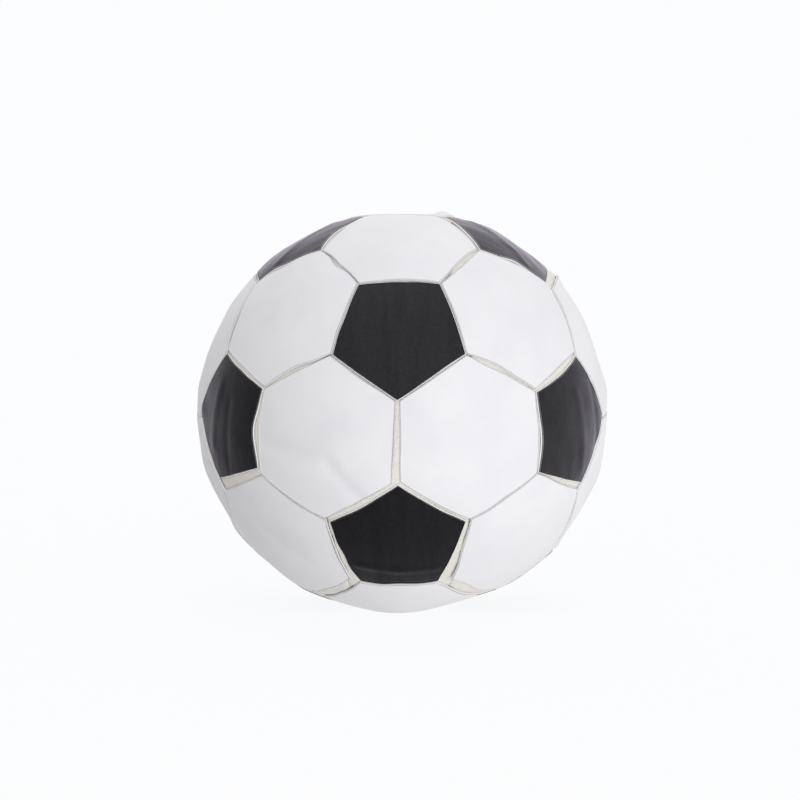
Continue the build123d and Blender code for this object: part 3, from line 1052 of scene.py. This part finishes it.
def press_in(piece, depths):
    """Moves each vertex of a piece inwards by its own depth."""
    normals = np.array([vertex.normal for vertex in piece.data.vertices])
    set_mesh_points(piece, mesh_points(piece) - normals * np.asarray(depths)[:, None])


def puff_up(piece, most):
    """Swells a pad by cloth simulation, no point moving further than a limit."""
    start = mesh_points(piece)
    cloth = piece.modifiers.new("puff", "CLOTH")
    cloth.settings.quality = 4
    cloth.settings.mass = 0.3
    cloth.settings.use_pressure = True
    cloth.settings.uniform_pressure_force = PUFF_PRESSURE
    cloth.settings.effector_weights.gravity = 0
    cloth.collision_settings.use_collision = False
    cloth.point_cache.frame_start, cloth.point_cache.frame_end = 1, PUFF_FRAMES
    for frame_number in range(1, PUFF_FRAMES + 1):
        bpy.context.scene.frame_set(frame_number)
    apply_modifiers(piece)
    bpy.context.scene.frame_set(1)
    moved = mesh_points(piece) - start
    length = np.linalg.norm(moved, axis=1)
    held = np.minimum(1.0, most / np.maximum(length, 1e-9))
    set_mesh_points(piece, start + moved * held[:, None])


def follow_surface(points):
    """Moves stuffing under the ball's hollows, clear of the canvas, and leaves its middle alone."""
    offset = points - CENTRE
    radius = np.linalg.norm(offset, axis=1)
    rays = offset / np.maximum(radius, 1e-9)[:, None]
    outer = surface_radius(rays)
    even = np.minimum(BALL_RADIUS, floor_distance(rays))
    share = np.clip((radius / BALL_RADIUS - STILL_SHARE) / (MOVING_SHARE - STILL_SHARE), 0, 1)
    moved = radius + share * np.minimum(outer - even, 0)
    room = outer - PANEL_THICKNESS - CANVAS_THICKNESS - CANVAS_SINK - SEAM_DIP - PUCKER
    return CENTRE + rays * np.minimum(moved, room - CANVAS_ROOM)[:, None]


def stuffing_piece(node, name, slot, material, voxel, lumpiness, length, puffed=0.0):
    """A lumpy copy of a stuffing node: remeshed, pressed in unevenly, and swollen again if it is a pad."""
    piece = even_mesh(node, name, voxel)
    points = mesh_points(piece)
    press_in(piece, puffed + lumpiness * (0.6 + 0.5 * noise_at(points, length, 5)))
    if puffed:
        puff_up(piece, puffed)
    set_mesh_points(piece, follow_surface(mesh_points(piece)))
    piece.data.materials.append(material)
    piece.data.polygons.foreach_set("use_smooth", [True] * len(piece.data.polygons))
    return finish_piece(piece, slot, node)


def lathed_cloth(node, profile):
    """Half of the calico bag: a closed sheet turned round the ball's upright axis, with pleats.

    The profile runs up the outer face as (radius, height, pleat depth), heights from the ball's middle.
    """
    points, uv, faces = [], [], []
    run = 0.0
    for i, (radius, height, pleat) in enumerate(profile):
        before = profile[i - 1] if i else profile[0]
        run += math.hypot(radius - before[0], height - before[1])
        after = profile[min(i + 1, len(profile) - 1)]
        rise, spread = after[1] - before[1], after[0] - before[0]
        slope = math.hypot(rise, spread) or 1.0
        inward = np.array((-rise, spread)) / slope * BAG_THICKNESS
        for layer in (0, 1):
            for step in range(LATHE_AROUND):
                turn = 2 * math.pi * step / LATHE_AROUND
                wave = pleat * (0.5 + 0.5 * math.cos(PLEATS * turn + 0.8 * math.sin(3 * turn)))
                r = radius - wave + layer * inward[0]
                z = height + layer * inward[1]
                points.append(CENTRE + np.array((r * math.cos(turn), r * math.sin(turn), z)))
                uv.append((turn * BAG_RADIUS, run))

    def band(lower, upper):
        """Faces between two rings, each named by its row and layer."""
        a, b = (LATHE_AROUND * (row * 2 + layer) for row, layer in (lower, upper))
        for step in range(LATHE_AROUND):
            following = (step + 1) % LATHE_AROUND
            faces.append((a + step, a + following, b + following, b + step))

    for row in range(len(profile) - 1):
        band((row, 0), (row + 1, 0))
        band((row + 1, 1), (row, 1))
    band((0, 1), (0, 0))
    band((len(profile) - 1, 0), (len(profile) - 1, 1))
    piece = new_piece(node + "_calico", points, faces, [CALICO], uv)
    finish_piece(piece, "bag_cloth", node)


def ballast_bag():
    """The two halves of the calico bag round the ballast, gathered into a neck at the top."""
    lower = []
    for i in range(BAG_ROWS + 1):
        tilt = math.radians(BAG_FOOT_DEGREES * (1 - i / BAG_ROWS))
        crumple = BAG_CRUMPLE * math.cos(tilt) * math.sin(3 * tilt) ** 2
        lower.append((BAG_RADIUS * math.cos(tilt), BAG_RADIUS * math.sin(tilt), crumple))
    lathed_cloth("ballast_bag_lower", lower)

    shoulder = math.asin(NECK_RADIUS / BAG_RADIUS)
    upper = []
    for i in range(BAG_ROWS + 1):
        tilt = (math.pi / 2 - shoulder) * i / BAG_ROWS
        radius = BAG_RADIUS * math.cos(tilt)
        pleat = min(0.35 * BAG_THICKNESS + 1.1 * MM * (i / BAG_ROWS) ** 2, 0.2 * radius)
        upper.append((radius, BAG_RADIUS * math.sin(tilt), pleat if i else 0.0))
    start = upper[-1][1]
    for share in np.linspace(0, 1, 8)[1:]:
        upper.append((NECK_RADIUS, start + (RUFFLE_FOOT - start) * share, NECK_PLEAT))
    for share in np.linspace(0, 1, 7)[1:]:
        radius = NECK_RADIUS + (RUFFLE_RADIUS - NECK_RADIUS) * share
        pleat = NECK_PLEAT + (RUFFLE_PLEAT - NECK_PLEAT) * share
        upper.append((radius, RUFFLE_FOOT + (RUFFLE_TOP - RUFFLE_FOOT) * share, pleat))
    lathed_cloth("ballast_bag_upper", upper)


def tie_cord():
    """The cord round the bag's neck: two strands twisted round each other in a ring."""
    low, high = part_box("ballast_bag_tie")
    middle = np.array((low + high) / 2)
    strand = (high.z - low.z) / 4
    ring = (high.x - low.x) / 2 - 2 * strand
    steps, sides, twists = 180, 8, 18
    up = np.array((0.0, 0.0, 1.0))
    points, faces = [], []
    for which in range(STRANDS):
        line, outs = [], []
        for step in range(steps):
            turn = 2 * math.pi * step / steps
            out = np.array((math.cos(turn), math.sin(turn), 0.0))
            twist = twists * turn + math.pi * which
            line.append(middle + out * ring + strand * (math.cos(twist) * out + math.sin(twist) * up))
            outs.append(out)
        add_tube(points, faces, line, outs, [up] * steps, 0.97 * strand, sides, closed=True)
    piece = new_piece("ballast_bag_tie_cord", points, faces, [THREAD])
    finish_piece(piece, "thread", "ballast_bag_tie")


# ---------------------------------------------------------------- the stage

CAMERA_AZIMUTH, CAMERA_ELEVATION, CAMERA_ROLL = 1.4, 9.07, -0.1
CAMERA_DISTANCE = 36 * BALL_RADIUS
LENS_MM, SENSOR_MM = 330.4, 36.0
AIM_LEFT, AIM_UP = 1.8 * MM, 7.9 * MM
FLOOR_HALF = 40.0
FLOOR_GLOW = 0.93
TENT_GLOW = 0.01
# The light tent's walls, as the direction of each and its glow.
TENT_WALLS = [
    ((-1, 0, 0), 0.05),
    ((0, 1, 0), 0.92),
    ((0, -1, 0), 0.66),
    ((0, 0, 1), 0.86),
    ((0.6, -0.5, -0.62), 0.88),
]
# Azimuth, elevation, distance and size in metres, and watts.
KEY_LIGHT = (75, -5, 2.4, 1.5, 3.0)


def make_camera():
    """The camera, a long way off, a little above the ball's middle."""
    back = Vector(compass(CAMERA_AZIMUTH, CAMERA_ELEVATION))
    right = Vector((0, 0, 1)).cross(back).normalized()
    up = back.cross(right)
    roll = math.radians(CAMERA_ROLL)
    rolled_right = right * math.cos(roll) + up * math.sin(roll)
    rolled_up = up * math.cos(roll) - right * math.sin(roll)
    data = bpy.data.cameras.new("camera")
    data.lens, data.sensor_width = LENS_MM, SENSOR_MM
    data.clip_end = 100
    camera = bpy.data.objects.new("camera", data)
    bpy.context.scene.collection.objects.link(camera)
    place = Vector(CENTRE) + back * CAMERA_DISTANCE - rolled_right * AIM_LEFT + rolled_up * AIM_UP
    axes = Matrix((rolled_right, rolled_up, back)).transposed().to_4x4()
    camera.matrix_world = Matrix.Translation(place) @ axes
    bpy.context.scene.camera = camera


def make_floor():
    """A plain, pale floor that glows a little, as a lit white table does."""
    corners = [(x * FLOOR_HALF, y * FLOOR_HALF, 0) for x, y in ((-1, -1), (1, -1), (1, 1), (-1, 1))]
    mesh = bpy.data.meshes.new("floor")
    mesh.from_pydata(corners, [], [(0, 1, 2, 3)])
    floor = bpy.data.objects.new("floor", mesh)
    bpy.context.scene.collection.objects.link(floor)
    material, _, shader = new_material("floor", 0.9, 0.0)
    shader.inputs["Base Color"].default_value = (0.06, 0.06, 0.0606, 1.0)
    shader.inputs["Emission Color"].default_value = (0.985, 0.99, 1.0, 1.0)
    shader.inputs["Emission Strength"].default_value = FLOOR_GLOW
    mesh.materials.append(material)
    floor.visible_diffuse = False
    floor.visible_glossy = False
    floor.visible_shadow = False


def soft_box(name, azimuth, elevation, distance, size, watts):
    """A soft box that faces the ball's middle."""
    data = bpy.data.lights.new(name, "AREA")
    data.shape = "SQUARE"
    data.size, data.energy = size, watts
    light = bpy.data.objects.new(name, data)
    bpy.context.scene.collection.objects.link(light)
    away = Vector(compass(azimuth, elevation))
    light.location = Vector(CENTRE) + away * distance
    light.rotation_mode = "QUATERNION"
    light.rotation_quaternion = away.to_track_quat("Z", "Y")


def light_tent():
    """The world as a light tent: soft walls, each with its own glow, and a little light from everywhere."""
    world = bpy.data.worlds.new("light_tent")
    world.use_nodes = True
    tree = world.node_tree
    direction = add_node(tree, "ShaderNodeTexCoord").outputs["Generated"]
    total = None
    for wall, glow in TENT_WALLS:
        facing = add_node(tree, "ShaderNodeVectorMath", {0: direction, 1: wall}, operation="DOT_PRODUCT")
        seen = add_node(tree, "ShaderNodeMath", {0: facing.outputs["Value"], 1: 0.0}, operation="MAXIMUM")
        adding = {0: seen.outputs["Value"], 1: glow, 2: TENT_GLOW if total is None else total}
        total = add_node(tree, "ShaderNodeMath", adding, operation="MULTIPLY_ADD").outputs["Value"]
    tree.links.new(total, tree.nodes["Background"].inputs["Color"])
    bpy.context.scene.world = world


def make_light():
    """The light tent and the soft box to the right."""
    light_tent()
    soft_box("key_right", *KEY_LIGHT)
    bpy.context.scene.view_settings.view_transform = "Standard"


# ---------------------------------------------------------------- making it

make_camera()
make_floor()
make_light()

panels = [Panel(node) for node in PANEL_NODES]
for panel in panels:
    panel.find_neighbours(panels)
for panel in panels:
    panel_piece(panel)
for number in range(1, GORE_COUNT + 1):
    gore_piece(number)
for patch, sign in POLE_PATCHES.items():
    pole_patch_piece(patch, sign)
stitch_piece("gore_stitching", "gore_stitching_thread", 0.35 * MM)
stitch_piece("closing_stitches", "closing_stitches_thread", 0.45 * MM)

for half in ("upper", "lower"):
    felt = stuffing_piece(
        f"felt_wrap_{half}", f"felt_wrap_{half}_felt", "felt", FELT, 4.5 * MM, 0.9 * MM, 16 * MM, 0.8 * MM
    )
    packed = stuffing_piece(
        f"fibre_filling_{half}", f"fibre_filling_{half}_fibre", "fibre", FIBRE, 4.0 * MM, 1.4 * MM, 12 * MM
    )
stuffing_piece("ballast", "ballast_heap", "ballast", GRAINS, 2.0 * MM, 0.7 * MM, 2.2 * MM)
ballast_bag()
tie_cord()
